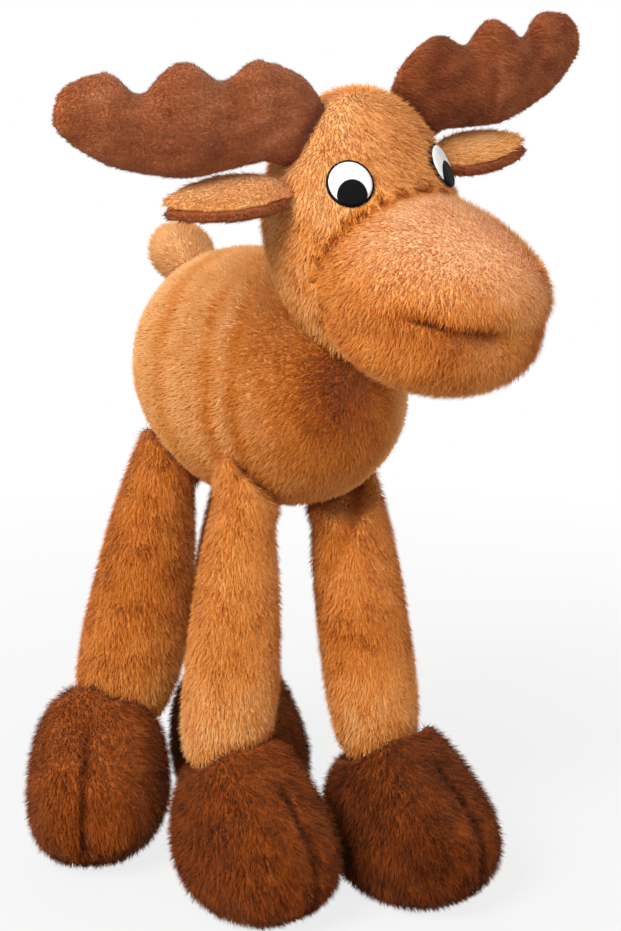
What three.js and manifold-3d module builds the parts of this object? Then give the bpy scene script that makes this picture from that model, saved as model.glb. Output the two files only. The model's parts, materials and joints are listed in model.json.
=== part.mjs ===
// A plush deer of the moose kind, standing on four long stuffed legs, in millimetres.
// It faces -Y with +Z up. Every solid is a sewn skin with its filling, and neighbours
// that are sewn together keep a thin gap at the seam.
import * as THREE from 'three';
import { mergeVertices } from 'three/addons/utils/BufferGeometryUtils.js';
import Module from 'manifold-3d';

const wasm = await Module();
wasm.setup();

const degrees = THREE.MathUtils.degToRad;

// Seams and joints
const seamGap = 0.4;
const overrun = 20;
const sweepStepDegrees = 5;
const hipSwingDegrees = 45;
const ankleBendDegrees = 15;
const headTurnDegrees = 20;
const antlerBendDegrees = 20;
const earBendDegrees = 20;
const tailBendDegrees = 25;

// Torso: an egg lying along Y, its rump a little higher than its chest
const torso = {
  length: 180,
  halfWidth: 60,
  rise: 64,
  drop: 63,
  aboveHips: 35,
  pitchDegrees: -3,
  widthShares: [0.86, 1, 1.02, 0.97, 0.86],
  riseShares: [0.9, 1, 1, 0.98, 0.92],
  dropShares: [0.84, 0.98, 1.02, 1, 0.9],
};

// Neck: the point that the head turns about, on the front top of the torso
const neck = { inset: 24, aboveCentre: 47, turnDegrees: 5, tiltDegrees: -4.5 };

// Head: an egg standing on its jaw, seen from the neck point
const head = {
  height: 124,
  halfWidth: 46.5,
  front: 50,
  back: 45,
  forward: 16,
  centreRise: 38,
  widthShares: [0.84, 1, 1.02, 1.02, 0.94],
  frontShares: [0.95, 1, 0.92, 0.76, 0.66],
  backShares: [0.8, 0.95, 1, 1, 0.95],
};

// Muzzle: a long swollen egg hanging forward from the face, with the chin under it
const muzzle = {
  length: 118,
  halfWidth: 50,
  rise: 44,
  drop: 18,
  startForward: 2,
  startRise: 24,
  pitchDegrees: 10,
  widthShares: [0.86, 0.94, 1, 1, 0.9],
  riseShares: [1.05, 1, 0.92, 0.8, 0.66],
  dropShares: [1, 1, 0.9, 0.8, 0.7],
};
const chin = {
  length: 108,
  halfWidth: 47,
  rise: 30,
  drop: 32,
  startForward: 6,
  startRise: 11,
  pitchDegrees: 11,
  widthShares: [0.8, 0.9, 1, 1.02, 0.92],
  depthShares: [0.8, 0.9, 1, 1, 0.95],
};

// Eyes: embroidered ovals on the face, each with a round pupil low in it
const eye = {
  halfWidth: 8.8,
  halfHeight: 10.6,
  thickness: 1.2,
  sideways: 12.8,
  rise: 62.5,
  splayDegrees: 27,
  rollDegrees: 6,
  pupilRadius: 7,
  pupilDrop: 4.8,
  pupilInward: -0.6,
};

// Antlers: flat stuffed palms with three lobes along the upper edge
const antler = {
  length: 121,
  rise: 28,
  drop: 25,
  halfThickness: 9.5,
  rootSideways: 29.6,
  rootForward: 18,
  rootRise: 87,
  rootInset: 9,
  sweepDegrees: 5,
  liftDegrees: 9,
  tipCurl: 12,
  riseShares: [1.12, 1.15, 1, 0.88, 0.75],
  dropShares: [0.6, 0.78, 0.98, 0.95, 0.7],
  thicknessShares: [0.85, 1, 1, 0.95, 0.8],
  notchShares: [0.38, 0.69],
  notchDepthShares: [0.37, 0.54],
  notchWidthShare: 0.075,
  creaseDepthShare: 0.5,
};

// Ears: pointed leaves under the antlers, plush above and lined below
const ear = {
  length: 63,
  halfWidth: 11.5,
  halfThickness: 3.5,
  liningDrop: 4,
  rootSideways: 42,
  rootForward: 20,
  rootRise: 61.4,
  sweepDegrees: 6,
  liftDegrees: 4,
  droop: 4,
  rollDegrees: 34,
  widthShares: [0.8, 1, 1, 0.82, 0.46],
};

// Legs: long tubes pinched at the hip and full at the ankle
const leg = {
  halfWidth: 22.5,
  halfDepth: 23,
  topRise: 14,
  endDrop: 21,
  widthShares: [0.62, 0.78, 0.88, 0.95, 1.03, 1.12],
  depthShares: [0.68, 0.82, 0.9, 0.96, 1.02, 1.1],
};
const hip = { sideways: 38, inset: 40, height: 222 };
const ankle = { sideways: 36, beyondHip: 12, height: 87 };
const limbs = [
  {
    name: 'front_right', frontward: true, backwardDegrees: 4, toeDegrees: 7, asideShare: 0,
    fullShares: [1, 1.05], hipShares: [-0.95, -0.79], ankleShares: [-1.2, -0.4],
  },
  {
    name: 'front_left', frontward: true, backwardDegrees: 8, toeDegrees: 12, asideShare: 0,
    fullShares: [1.17, 1.12], hipShares: [0.56, -0.66], ankleShares: [0.82, -0.85],
  },
  {
    name: 'rear_right', frontward: false, backwardDegrees: 4, toeDegrees: -33, asideShare: -0.36,
    fullShares: [1.16, 1.16], hipShares: [-0.86, 0.85], ankleShares: [-1.44, 1.1],
  },
  {
    name: 'rear_left', frontward: false, backwardDegrees: 8, toeDegrees: -5, asideShare: 0,
    fullShares: [1, 1], hipShares: [0.5, 0.86], ankleShares: [0.5, 1.35],
  },
];

// Hooves: big round boots with a flat base panel
const hoof = {
  heel: 27,
  toe: 75,
  halfWidth: 34.5,
  rise: 56,
  drop: 38,
  spineHeight: 32,
  soleThickness: 3,
  squareShare: 0.82,
  widthShares: [0.88, 0.97, 1.02, 1.03, 0.96],
  riseShares: [0.88, 1.02, 1.08, 0.78, 0.58],
  dropShares: [0.9, 1, 1, 0.92, 0.66],
};

// Tail: a round stub at the top of the rump
const tail = {
  length: 42,
  halfWidth: 17.5,
  rise: 16,
  drop: 15,
  inset: 25.5,
  aboveCentre: 39,
  liftDegrees: 28,
  widthShares: [0.7, 0.92, 1.05, 1.08, 1],
};

// Looks
const coat = { color: 0xcf8b4f, roughness: 0.95, metalness: 0 };
const paleCoat = { color: 0xe2a062, roughness: 0.95, metalness: 0 };
const hoofCoat = { color: 0x6b3010, roughness: 0.95, metalness: 0 };
const antlerCoat = { color: 0x87492c, roughness: 0.95, metalness: 0 };
const liningCoat = { color: 0x7a4428, roughness: 0.9, metalness: 0 };
const whiteThread = { color: 0xf8f8f8, roughness: 0.7, metalness: 0 };
const blackThread = { color: 0x17130f, roughness: 0.6, metalness: 0 };

/** A smooth value along a form, through shares that are spaced evenly from its start to its end. */
function along(shares) {
  const last = shares.length - 1;
  return (place) => {
    const left = Math.min(Math.floor(place * last), last - 1);
    const t = place * last - left;
    const blend = t * t * (3 - 2 * t);
    return THREE.MathUtils.lerp(shares[left], shares[left + 1], (t + blend) / 2);
  };
}

/** An oval section: half width across, rise above the spine and drop below it. */
function oval(halfWidth, rise, drop, widthShares, riseShares = widthShares, dropShares = riseShares) {
  const [width, up, down] = [widthShares, riseShares, dropShares].map(along);
  return (place, turn) => {
    const height = Math.sin(turn) > 0 ? rise * up(place) : drop * down(place);
    return [Math.cos(turn) * halfWidth * width(place), Math.sin(turn) * height];
  };
}

/** A section with its round sides squared: 1 leaves it as it is, and less makes it boxier. */
function squared(section, squareShare) {
  const boxier = (turn) => Math.atan2(
    Math.sign(Math.sin(turn)) * Math.abs(Math.sin(turn)) ** squareShare,
    Math.sign(Math.cos(turn)) * Math.abs(Math.cos(turn)) ** squareShare);
  return (place, turn) => {
    const [across, up] = [Math.cos(turn), Math.sin(turn)].map((side) => Math.abs(side) ** squareShare);
    return section(place, boxier(turn)).map((distance) => distance * Math.hypot(across, up));
  };
}

/** A closed stuffed form: sections along a spine, drawn in to a round end at both ends. */
function stuffed({ spine, across, section, bluntShare = 0.8, rings = 14, sides = 20 }) {
  const points = [spine.getPoint(0)];
  for (let ring = 1; ring < rings; ring += 1) {
    const turnAlong = (Math.PI * ring) / rings;
    const place = (1 - Math.cos(turnAlong)) / 2;
    const roundness = Math.sin(turnAlong) ** bluntShare;
    const tangent = spine.getTangent(place);
    const sideways = across.clone().addScaledVector(tangent, -across.dot(tangent)).normalize();
    const upward = new THREE.Vector3().crossVectors(tangent, sideways);
    for (let side = 0; side < sides; side += 1) {
      const [x, y] = section(place, (2 * Math.PI * side) / sides);
      const point = spine.getPoint(place);
      point.addScaledVector(sideways, x * roundness).addScaledVector(upward, y * roundness);
      points.push(point);
    }
  }
  points.push(spine.getPoint(1));

  const faces = [];
  const at = (ring, side) => 1 + (ring - 1) * sides + (side % sides);
  for (let side = 0; side < sides; side += 1) {
    faces.push(0, at(1, side + 1), at(1, side));
    for (let ring = 1; ring < rings - 1; ring += 1) {
      faces.push(at(ring, side), at(ring, side + 1), at(ring + 1, side));
      faces.push(at(ring, side + 1), at(ring + 1, side + 1), at(ring + 1, side));
    }
    faces.push(points.length - 1, at(rings - 1, side), at(rings - 1, side + 1));
  }
  const geometry = new THREE.BufferGeometry().setFromPoints(points);
  geometry.setIndex(faces);
  return geometry;
}

/** The same form with its skin moved outward by a clearance. */
function grown(geometry, clearance) {
  const larger = geometry.clone();
  larger.computeVertexNormals();
  const { position, normal } = larger.attributes;
  for (let i = 0; i < position.count; i += 1) {
    const point = new THREE.Vector3().fromBufferAttribute(position, i);
    point.addScaledVector(new THREE.Vector3().fromBufferAttribute(normal, i), clearance);
    position.setXYZ(i, point.x, point.y, point.z);
  }
  larger.deleteAttribute('normal');
  return larger;
}

function solidOf(geometry) {
  const bare = geometry.clone();
  bare.deleteAttribute('normal');
  bare.deleteAttribute('uv');
  const merged = mergeVertices(bare);
  const vertProperties = new Float32Array(merged.attributes.position.array);
  const triVerts = new Uint32Array(merged.index.array);
  return new wasm.Manifold(new wasm.Mesh({ numProp: 3, vertProperties, triVerts }));
}

function geometryOf(solid) {
  const { vertProperties, triVerts } = solid.getMesh();
  const geometry = new THREE.BufferGeometry();
  geometry.setAttribute('position', new THREE.BufferAttribute(vertProperties, 3));
  geometry.setIndex(new THREE.BufferAttribute(triVerts, 1));
  geometry.computeVertexNormals();
  return geometry;
}

/** A turn about an axis through a pivot. */
function turnAbout(pivot, axis, angle) {
  return new THREE.Matrix4()
    .makeTranslation(pivot)
    .multiply(new THREE.Matrix4().makeRotationAxis(axis, angle))
    .multiply(new THREE.Matrix4().makeTranslation(pivot.clone().negate()));
}

/** Cuts a moving solid so that it clears a fixed form at every angle of its joint. */
function clearedOf(solid, fixedForm, joint) {
  const { pivot, axis, fromDegrees, toDegrees } = joint;
  const steps = Math.ceil((toDegrees - fromDegrees) / sweepStepDegrees);
  const larger = grown(fixedForm, seamGap);
  let cleared = solid;
  for (let step = 0; step <= steps; step += 1) {
    const angle = degrees(THREE.MathUtils.lerp(fromDegrees, toDegrees, step / steps));
    cleared = cleared.subtract(solidOf(larger.clone().applyMatrix4(turnAbout(pivot, axis, -angle))));
  }
  return cleared;
}

/** A block far wider than the toy between two heights, for flat cuts. */
function slab(bottom, top, reach) {
  const block = new THREE.BoxGeometry(reach, reach, top - bottom);
  return block.translate(0, 0, (top + bottom) / 2);
}

function straight(start, end) {
  return new THREE.LineCurve3(start, end);
}

function piece(name, solid, look) {
  const mesh = new THREE.Mesh(geometryOf(solid), new THREE.MeshStandardMaterial(look));
  mesh.name = name;
  return mesh;
}

const toy = new THREE.Group();
const xAxis = new THREE.Vector3(1, 0, 0);
const zAxis = new THREE.Vector3(0, 0, 1);

/** The torso's middle stands above the hips, and the neck, hips and tail are set in from its ends. */
const torsoCentre = hip.height + torso.aboveHips;
const hipForward = torso.length / 2 - hip.inset;
const ankleForward = hipForward + ankle.beyondHip;

function torsoForm() {
  const pitch = -degrees(torso.pitchDegrees);
  const reach = new THREE.Vector3(0, -torso.length / 2, 0).applyAxisAngle(xAxis, pitch);
  const centre = new THREE.Vector3(0, 0, torsoCentre);
  const { halfWidth, rise, drop, widthShares, riseShares, dropShares } = torso;
  return stuffed({
    spine: straight(centre.clone().sub(reach), centre.clone().add(reach)),
    across: xAxis,
    section: oval(halfWidth, rise, drop, widthShares, riseShares, dropShares),
    bluntShare: 0.86,
    rings: 18,
    sides: 28,
  });
}

const torsoSkin = torsoForm();
toy.add(piece('torso', solidOf(torsoSkin), coat));

/** A leg hangs from its hip on the torso's flank and ends in a round ankle inside its hoof. */
function legForm(hipPoint, anklePoint, [thighShare, ankleShare]) {
  const down = anklePoint.clone().sub(hipPoint).normalize();
  const top = hipPoint.clone().addScaledVector(down, -leg.topRise);
  const end = anklePoint.clone().addScaledVector(down, leg.endDrop);
  const fuller = (share, i, { length }) =>
    share * THREE.MathUtils.lerp(thighShare, ankleShare, i / (length - 1));
  const [widthShares, depthShares] = [leg.widthShares, leg.depthShares].map((shares) => shares.map(fuller));
  return stuffed({
    spine: straight(top, end),
    across: xAxis,
    section: oval(leg.halfWidth, leg.halfDepth, leg.halfDepth, widthShares, depthShares),
    bluntShare: 0.32,
    rings: 12,
    sides: 14,
  });
}

/** A hoof seen from its ankle, with its toe along -Y. */
function hoofForm(aside) {
  const spineZ = hoof.spineHeight - ankle.height;
  const { halfWidth, rise, drop, widthShares, riseShares, dropShares } = hoof;
  return stuffed({
    spine: straight(
      new THREE.Vector3(aside, hoof.heel, spineZ), new THREE.Vector3(aside, -hoof.toe, spineZ)),
    across: xAxis,
    section: squared(oval(halfWidth, rise, drop, widthShares, riseShares, dropShares), hoof.squareShare),
    bluntShare: 0.62,
    rings: 12,
    sides: 20,
  });
}

for (const limb of limbs) {
  const hipPoint = new THREE.Vector3(
    hip.sideways * limb.hipShares[0], hipForward * limb.hipShares[1], hip.height);
  const anklePoint = new THREE.Vector3(
    ankle.sideways * limb.ankleShares[0], ankleForward * limb.ankleShares[1], ankle.height);
  const form = legForm(hipPoint, anklePoint, limb.fullShares);
  const swing = limb.frontward
    ? { fromDegrees: -limb.backwardDegrees, toDegrees: hipSwingDegrees }
    : { fromDegrees: -hipSwingDegrees, toDegrees: limb.backwardDegrees };
  const hipJoint = { pivot: hipPoint, axis: xAxis.clone().negate(), ...swing };
  toy.add(piece(`leg_${limb.name}`, clearedOf(solidOf(form), torsoSkin, hipJoint), coat));

  const foot = new THREE.Group();
  foot.position.copy(anklePoint);
  foot.rotation.z = degrees(limb.toeDegrees);
  foot.updateMatrixWorld();
  const ankleJoint = {
    pivot: new THREE.Vector3(), axis: xAxis,
    fromDegrees: -ankleBendDegrees, toDegrees: ankleBendDegrees,
  };
  const legInFoot = form.clone().applyMatrix4(foot.matrixWorld.clone().invert());
  const boot = clearedOf(solidOf(hoofForm(limb.asideShare * hoof.halfWidth)), legInFoot, ankleJoint);
  const floor = -ankle.height;
  const soleTop = floor + hoof.soleThickness;
  const reach = 2 * (hoof.toe + hoof.heel);
  foot.add(
    piece(`hoof_${limb.name}`, boot.intersect(solidOf(slab(soleTop + seamGap, overrun, reach))), hoofCoat),
    piece(`hoof_sole_${limb.name}`, boot.intersect(solidOf(slab(floor, soleTop, reach))), hoofCoat),
  );
  toy.add(foot);
}

// Head: everything that turns with it is placed from the neck point
const headGroup = new THREE.Group();
headGroup.position.set(0, neck.inset - torso.length / 2, torsoCentre + neck.aboveCentre);
headGroup.rotation.set(0, degrees(neck.tiltDegrees), degrees(neck.turnDegrees), 'ZYX');
headGroup.updateMatrixWorld();
toy.add(headGroup);
const torsoFromNeck = torsoSkin.clone().applyMatrix4(headGroup.matrixWorld.clone().invert());
const neckJoint = {
  pivot: new THREE.Vector3(), axis: zAxis,
  fromDegrees: -headTurnDegrees, toDegrees: headTurnDegrees,
};

function headForm() {
  const middle = new THREE.Vector3(0, -head.forward, head.centreRise);
  const half = new THREE.Vector3(0, 0, head.height / 2);
  const { halfWidth, back, front, widthShares, backShares, frontShares } = head;
  return stuffed({
    spine: straight(middle.clone().sub(half), middle.clone().add(half)),
    across: xAxis,
    section: oval(halfWidth, back, front, widthShares, backShares, frontShares),
    bluntShare: 0.86,
    rings: 16,
    sides: 26,
  });
}

function noseForm({ length, halfWidth, rise, drop, startForward, startRise, pitchDegrees }, shares) {
  const start = new THREE.Vector3(0, -startForward, startRise);
  const reach = new THREE.Vector3(0, -length, 0).applyAxisAngle(xAxis, degrees(pitchDegrees));
  return stuffed({
    spine: straight(start, start.clone().add(reach)),
    across: xAxis,
    section: oval(halfWidth, rise, drop, ...shares),
    bluntShare: 0.66,
    rings: 14,
    sides: 24,
  });
}

const headSkin = headForm();
const headSolid = clearedOf(solidOf(headSkin), torsoFromNeck, neckJoint);
const muzzleSkin = noseForm(muzzle, [muzzle.widthShares, muzzle.riseShares, muzzle.dropShares]);
const muzzleSolid = clearedOf(solidOf(muzzleSkin), torsoFromNeck, neckJoint)
  .subtract(solidOf(grown(headSkin, seamGap)));
const chinSkin = noseForm(chin, [chin.widthShares, chin.depthShares]);
const chinSolid = clearedOf(solidOf(chinSkin), torsoFromNeck, neckJoint)
  .subtract(solidOf(grown(headSkin, seamGap)))
  .subtract(solidOf(grown(muzzleSkin, seamGap)));
headGroup.add(piece('head', headSolid, coat));
headGroup.add(piece('muzzle', muzzleSolid, paleCoat));
headGroup.add(piece('chin', chinSolid, paleCoat));

/** A rod of oval section through the face, to cut an eye out of a skin that lies on the head. */
function eyeRod(halfWidth, halfHeight, side, inward, drop) {
  const rod = new THREE.CylinderGeometry(1, 1, 2 * head.front, 22);
  rod.scale(halfWidth, 1, halfHeight);
  rod.translate(-side * inward, 0, -drop);
  rod.rotateY(side * degrees(eye.rollDegrees));
  rod.translate(0, -head.front, 0);
  rod.rotateZ(side * degrees(eye.splayDegrees));
  return solidOf(rod.translate(side * eye.sideways, -head.forward, eye.rise));
}

for (const [name, side] of [['right', -1], ['left', 1]]) {
  const lowest = solidOf(grown(headSkin, seamGap));
  const outer = solidOf(grown(headSkin, seamGap + eye.thickness));
  const muzzleRoom = solidOf(grown(muzzleSkin, seamGap));
  const patch = outer.subtract(lowest).subtract(muzzleRoom);
  const pupil = eyeRod(eye.pupilRadius, eye.pupilRadius, side, eye.pupilInward, eye.pupilDrop);
  const roomRadius = eye.pupilRadius + seamGap;
  const pupilRoom = eyeRod(roomRadius, roomRadius, side, eye.pupilInward, eye.pupilDrop);
  const white = eyeRod(eye.halfWidth, eye.halfHeight, side, 0, 0);
  headGroup.add(piece(`eye_white_${name}`, patch.intersect(white).subtract(pupilRoom), whiteThread));
  headGroup.add(piece(`eye_pupil_${name}`, patch.intersect(white).intersect(pupil), blackThread));
}

/** The palm's section: notches in the upper edge, and a sewn crease below each. */
function palmSection() {
  const [up, down, thick] = [antler.riseShares, antler.dropShares, antler.thicknessShares].map(along);
  return (place, turn) => {
    const raised = Math.max(Math.sin(turn), 0);
    let notch = 0;
    antler.notchShares.forEach((notchShare, i) => {
      const near = Math.exp(-(((place - notchShare) / antler.notchWidthShare) ** 2));
      notch += near * antler.notchDepthShares[i];
    });
    const height = raised > 0 ? antler.rise * up(place) * (1 - notch) : antler.drop * down(place);
    const crease = 1 - notch * antler.creaseDepthShare * (0.5 + 0.5 * raised);
    return [Math.cos(turn) * antler.halfThickness * thick(place) * crease, Math.sin(turn) * height];
  };
}

function antlerForm(side) {
  const sweep = degrees(antler.sweepDegrees);
  const lift = degrees(antler.liftDegrees);
  const outward = new THREE.Vector3(
    side * Math.cos(sweep) * Math.cos(lift), Math.sin(sweep) * Math.cos(lift), Math.sin(lift));
  const root = new THREE.Vector3(side * antler.rootSideways, -antler.rootForward, antler.rootRise);
  const start = root.clone().addScaledVector(outward, -antler.rootInset);
  const middle = root.clone().addScaledVector(outward, antler.length / 2);
  middle.z -= antler.tipCurl / 2;
  const tip = root.clone().addScaledVector(outward, antler.length);
  return stuffed({
    spine: new THREE.QuadraticBezierCurve3(start, middle, tip),
    across: new THREE.Vector3(0, side, 0),
    section: palmSection(),
    bluntShare: 0.55,
    rings: 28,
    sides: 14,
  });
}

/** One leaf of an ear: the lining lies against the back of the plush leaf and hangs a little lower. */
function earLeafForm(side, backing) {
  const sweep = degrees(ear.sweepDegrees);
  const lift = degrees(ear.liftDegrees);
  const outward = new THREE.Vector3(side * Math.cos(sweep), Math.sin(sweep), Math.tan(lift));
  const across = new THREE.Vector3(0, side, 0).applyAxisAngle(xAxis, degrees(ear.rollDegrees));
  const root = new THREE.Vector3(side * ear.rootSideways, -ear.rootForward, ear.rootRise);
  root.addScaledVector(across, -side * backing * ear.liningDrop);
  const middle = root.clone().addScaledVector(outward, ear.length / 2);
  const tip = root.clone().addScaledVector(outward, ear.length);
  tip.z -= ear.droop;
  const form = stuffed({
    spine: new THREE.QuadraticBezierCurve3(root, middle, tip),
    across,
    section: oval(ear.halfWidth, ear.halfThickness, ear.halfThickness, ear.widthShares),
    bluntShare: 0.5,
    rings: 12,
    sides: 14,
  });
  const behind = new THREE.Vector3().crossVectors(across, outward).normalize();
  return form.translate(...behind.multiplyScalar(backing * ear.halfThickness).toArray());
}

for (const [name, side] of [['right', -1], ['left', 1]]) {
  const antlerRoot = new THREE.Vector3(side * antler.rootSideways, -antler.rootForward, antler.rootRise);
  const antlerJoint = {
    pivot: antlerRoot, axis: zAxis, fromDegrees: -antlerBendDegrees, toDegrees: antlerBendDegrees,
  };
  const palm = clearedOf(solidOf(antlerForm(side)), headSkin, antlerJoint);
  headGroup.add(piece(`antler_${name}`, palm, antlerCoat));

  const earRoot = new THREE.Vector3(side * ear.rootSideways, -ear.rootForward, ear.rootRise);
  const earJoint = { pivot: earRoot, axis: zAxis, fromDegrees: -earBendDegrees, toDegrees: earBendDegrees };
  const leafSkin = earLeafForm(side, 0);
  const leaf = clearedOf(solidOf(leafSkin), headSkin, earJoint);
  const lining = clearedOf(solidOf(earLeafForm(side, 1)), headSkin, earJoint)
    .subtract(solidOf(grown(leafSkin, seamGap)));
  headGroup.add(piece(`ear_${name}`, leaf, coat), piece(`ear_lining_${name}`, lining, liningCoat));
}

const tailRoot = new THREE.Vector3(0, torso.length / 2 - tail.inset, torsoCentre + tail.aboveCentre);

function tailForm() {
  const reach = new THREE.Vector3(0, tail.length, 0).applyAxisAngle(xAxis, degrees(tail.liftDegrees));
  return stuffed({
    spine: straight(tailRoot, tailRoot.clone().add(reach)),
    across: xAxis.clone().negate(),
    section: oval(tail.halfWidth, tail.rise, tail.drop, tail.widthShares),
    bluntShare: 0.7,
    rings: 10,
    sides: 16,
  });
}

const tailJoint = {
  pivot: tailRoot, axis: zAxis, fromDegrees: -tailBendDegrees, toDegrees: tailBendDegrees,
};
toy.add(piece('tail', clearedOf(solidOf(tailForm()), torsoSkin, tailJoint), coat));

// The origin is the middle of the toy's footprint, on the surface that it stands on
const bounds = new THREE.Box3().setFromObject(toy, true);
const middle = bounds.getCenter(new THREE.Vector3());
toy.position.set(-middle.x, -middle.y, -bounds.min.z);

export default toy;
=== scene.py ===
"""A standing plush moose: sewn skins with their filling, and the pile that grows on them."""

import json
import math

import bmesh
import bpy
import numpy as np
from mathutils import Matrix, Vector
from mathutils.bvhtree import BVHTree


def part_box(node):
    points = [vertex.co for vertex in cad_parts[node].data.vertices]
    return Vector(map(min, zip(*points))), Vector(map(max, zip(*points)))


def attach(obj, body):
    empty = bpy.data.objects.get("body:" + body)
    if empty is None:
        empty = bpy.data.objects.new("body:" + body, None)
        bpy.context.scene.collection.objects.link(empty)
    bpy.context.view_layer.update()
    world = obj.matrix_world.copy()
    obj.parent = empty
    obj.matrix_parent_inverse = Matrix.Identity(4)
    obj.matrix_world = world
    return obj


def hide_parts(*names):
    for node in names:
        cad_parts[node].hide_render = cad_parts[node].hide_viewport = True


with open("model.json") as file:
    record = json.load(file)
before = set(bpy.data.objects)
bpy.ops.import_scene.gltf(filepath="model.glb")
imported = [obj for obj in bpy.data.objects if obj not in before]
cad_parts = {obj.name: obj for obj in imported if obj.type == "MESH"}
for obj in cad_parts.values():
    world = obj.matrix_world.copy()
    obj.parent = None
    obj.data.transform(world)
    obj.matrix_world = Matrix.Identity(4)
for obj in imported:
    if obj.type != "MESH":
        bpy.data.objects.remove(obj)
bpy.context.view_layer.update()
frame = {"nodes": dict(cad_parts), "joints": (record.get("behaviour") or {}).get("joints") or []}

MM = 0.001


def box_middle(node):
    low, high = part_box(node)
    return np.array((low + high) / 2)


# Where the photograph was taken from, and what it looks at, from the middle of the torso
TRUNK = Vector((*box_middle("torso")[:2], 0))
CAMERA_PLACE = TRUNK + Vector((-0.5098, -0.8235, 0.461))
CAMERA_AIM = TRUNK + Vector((0.0176, -0.0114, 0.2105))
CAMERA_LENS = 77.3

SIDES = ("right", "left")
LIMBS = ("front_right", "front_left", "rear_right", "rear_left")

# The kinds of plush, which are also slots. The torso's and tail's coat, a less saturated copy of the coat
# for painted light, is in the coat's slot
COAT = "coat_plush"
LIT_COAT = "faded_plush"
PALE = "pale_plush"
HOOF = "hoof_plush"
ANTLER = "antler_plush"
LINING = "ear_lining"


# Nodes and their sums


class Strand:
    """An output socket of a node. A sum on it adds the node that works it out."""

    def __init__(self, tree, socket):
        self.tree = tree
        self.socket = socket

    def __getitem__(self, name):
        return Strand(self.tree, self.socket.node.outputs[name])

    @classmethod
    def node(cls, tree, kind, settings=(), inputs=(), output=0):
        """Any node: its type, its settings, and the values or links of its sockets."""
        made = tree.nodes.new(kind)
        for key, value in dict(settings).items():
            if key == "stops":
                ramp = made.color_ramp
                while len(ramp.elements) < len(value):
                    ramp.elements.new(0.5)
                for element, (place, colour) in zip(ramp.elements, value):
                    element.position = place
                    element.color = (*colour, 1)
            else:
                setattr(made, key, value)
        for key, value in dict(inputs).items():
            socket = made.inputs[key]
            if isinstance(value, Strand):
                tree.links.new(value.socket, socket)
            else:
                socket.default_value = value
        return cls(tree, made.outputs[output])

    def sum(self, operation, first, second):
        """A sum of two numbers or vectors. A vector may also be multiplied by a number after it."""
        vectors = [v for v in (first, second) if isinstance(v, Strand) and v.socket.type == "VECTOR"]
        kind = "ShaderNodeVectorMath" if vectors else "ShaderNodeMath"
        if len(vectors) == 1 and operation == "MULTIPLY":
            return self.node(self.tree, kind, {"operation": "SCALE"}, {0: first, "Scale": second})
        return self.node(self.tree, kind, {"operation": operation}, {0: first, 1: second})

    def __add__(self, other):
        return self.sum("ADD", self, other)

    def __sub__(self, other):
        return self.sum("SUBTRACT", self, other)

    def __mul__(self, other):
        return self.sum("MULTIPLY", self, other)

    def __rtruediv__(self, other):
        return self.sum("DIVIDE", other, self)

    def above(self, other):
        return self.sum("MAXIMUM", self, other)


def srgb(red, green, blue):
    """A colour as it is read off a swatch, from 0 to 255, made linear."""
    def linear(value):
        value /= 255
        return value / 12.92 if value <= 0.04045 else ((value + 0.055) / 1.055) ** 2.4
    return tuple(linear(v) for v in (red, green, blue))


def clamped(values):
    """Values held between 0 and 1."""
    return np.clip(values, 0, 1)


def placed(name, data):
    """A new object in the scene."""
    obj = bpy.data.objects.new(name, data)
    bpy.context.scene.collection.objects.link(obj)
    return obj


# Studio

# The lamps: name, place, width, power and tint
LAMPS = (
    ("key", (-1.25, -0.6, 1.3), 0.8, 40, (1, 0.985, 0.96)),
    ("fill", (1.25, -1.0, 0.5), 1.1, 9, (1, 0.97, 0.93)),
    ("back", (0.5, 1.3, 1.2), 0.9, 6, (1, 0.98, 0.95)),
)
LAMP_AIM = Vector((0, 0, 0.2))
FLOOR_REACH = 3


def facing(place, aim):
    """The turn that points a camera or a lamp from its place at its aim."""
    return (aim - Vector(place)).to_track_quat("-Z", "Y").to_euler()


def surfaced(tree, shader, output="ShaderNodeOutputMaterial"):
    """Joins a shader to the output of its tree."""
    tree.links.new(shader.socket, tree.nodes.new(output).inputs["Surface"])


def studio():
    camera = bpy.data.cameras.new("camera")
    camera.lens = CAMERA_LENS
    camera.sensor_width = 36
    stand = placed("camera", camera)
    stand.location = CAMERA_PLACE
    stand.rotation_euler = facing(CAMERA_PLACE, CAMERA_AIM)
    bpy.context.scene.camera = stand
    bpy.context.scene.view_settings.view_transform = "Standard"

    world = bpy.data.worlds.new("studio")
    bpy.context.scene.world = world
    world.use_nodes = True
    tree = world.node_tree
    tree.nodes.clear()
    seen = seen_directly(tree)
    glow = Strand.node(tree, "ShaderNodeBackground", {}, {"Color": (1, 0.985, 0.96, 1), "Strength": 0.3})
    white = Strand.node(tree, "ShaderNodeBackground", {}, {"Color": (1, 1, 1, 1), "Strength": 1})
    mixed = Strand.node(tree, "ShaderNodeMixShader", {}, {0: seen, 1: glow, 2: white})
    surfaced(tree, mixed, "ShaderNodeOutputWorld")

    for name, place, size, power, tint in LAMPS:
        lamp = bpy.data.lights.new(name, "AREA")
        lamp.shape = "SQUARE"
        lamp.size = size
        lamp.energy = power
        lamp.color = tint
        holder = placed(name, lamp)
        holder.location = place
        holder.rotation_euler = facing(place, LAMP_AIM)


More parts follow.
